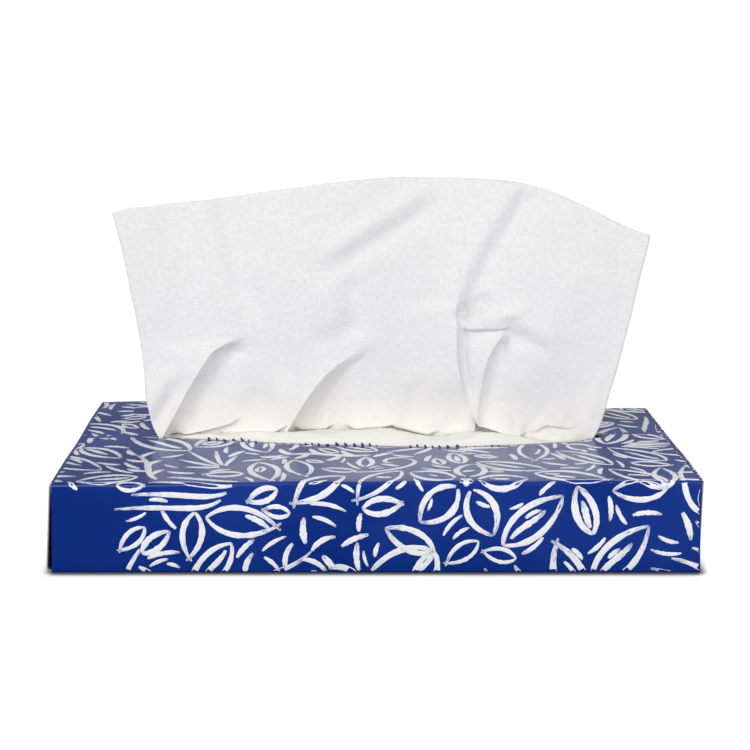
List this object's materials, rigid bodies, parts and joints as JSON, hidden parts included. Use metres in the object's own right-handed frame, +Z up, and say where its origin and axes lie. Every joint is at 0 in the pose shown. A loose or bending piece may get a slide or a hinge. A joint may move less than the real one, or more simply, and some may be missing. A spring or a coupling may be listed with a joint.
{
  "type": "tissue box",
  "caption": "Flat rectangular tissue box of folded printed board with a long pointed opening, holding interfolded tissues, one pulled half out and the next swelling up before it.",
  "frame": {"origin": "Middle of the carton's footprint, on the plane that its bottom rests on.", "axes": "+X along the length, to the right of the picture; +Y from the front panel to the back; +Z up."},
  "size_m": [0.2323, 0.1152, 0.1352],
  "materials": {
    "board": "gloss",
    "tissue": "matte",
    "tissue_lining": "matte",
    "white_print": "gloss"
  },
  "bodies": {
    "root": {"carton": "board", "tissue_pile": "tissue", "next_tissue": "tissue_lining", "pulled_tissue": "tissue", "printed_leaves": "white_print"}
  },
  "joints": []
}
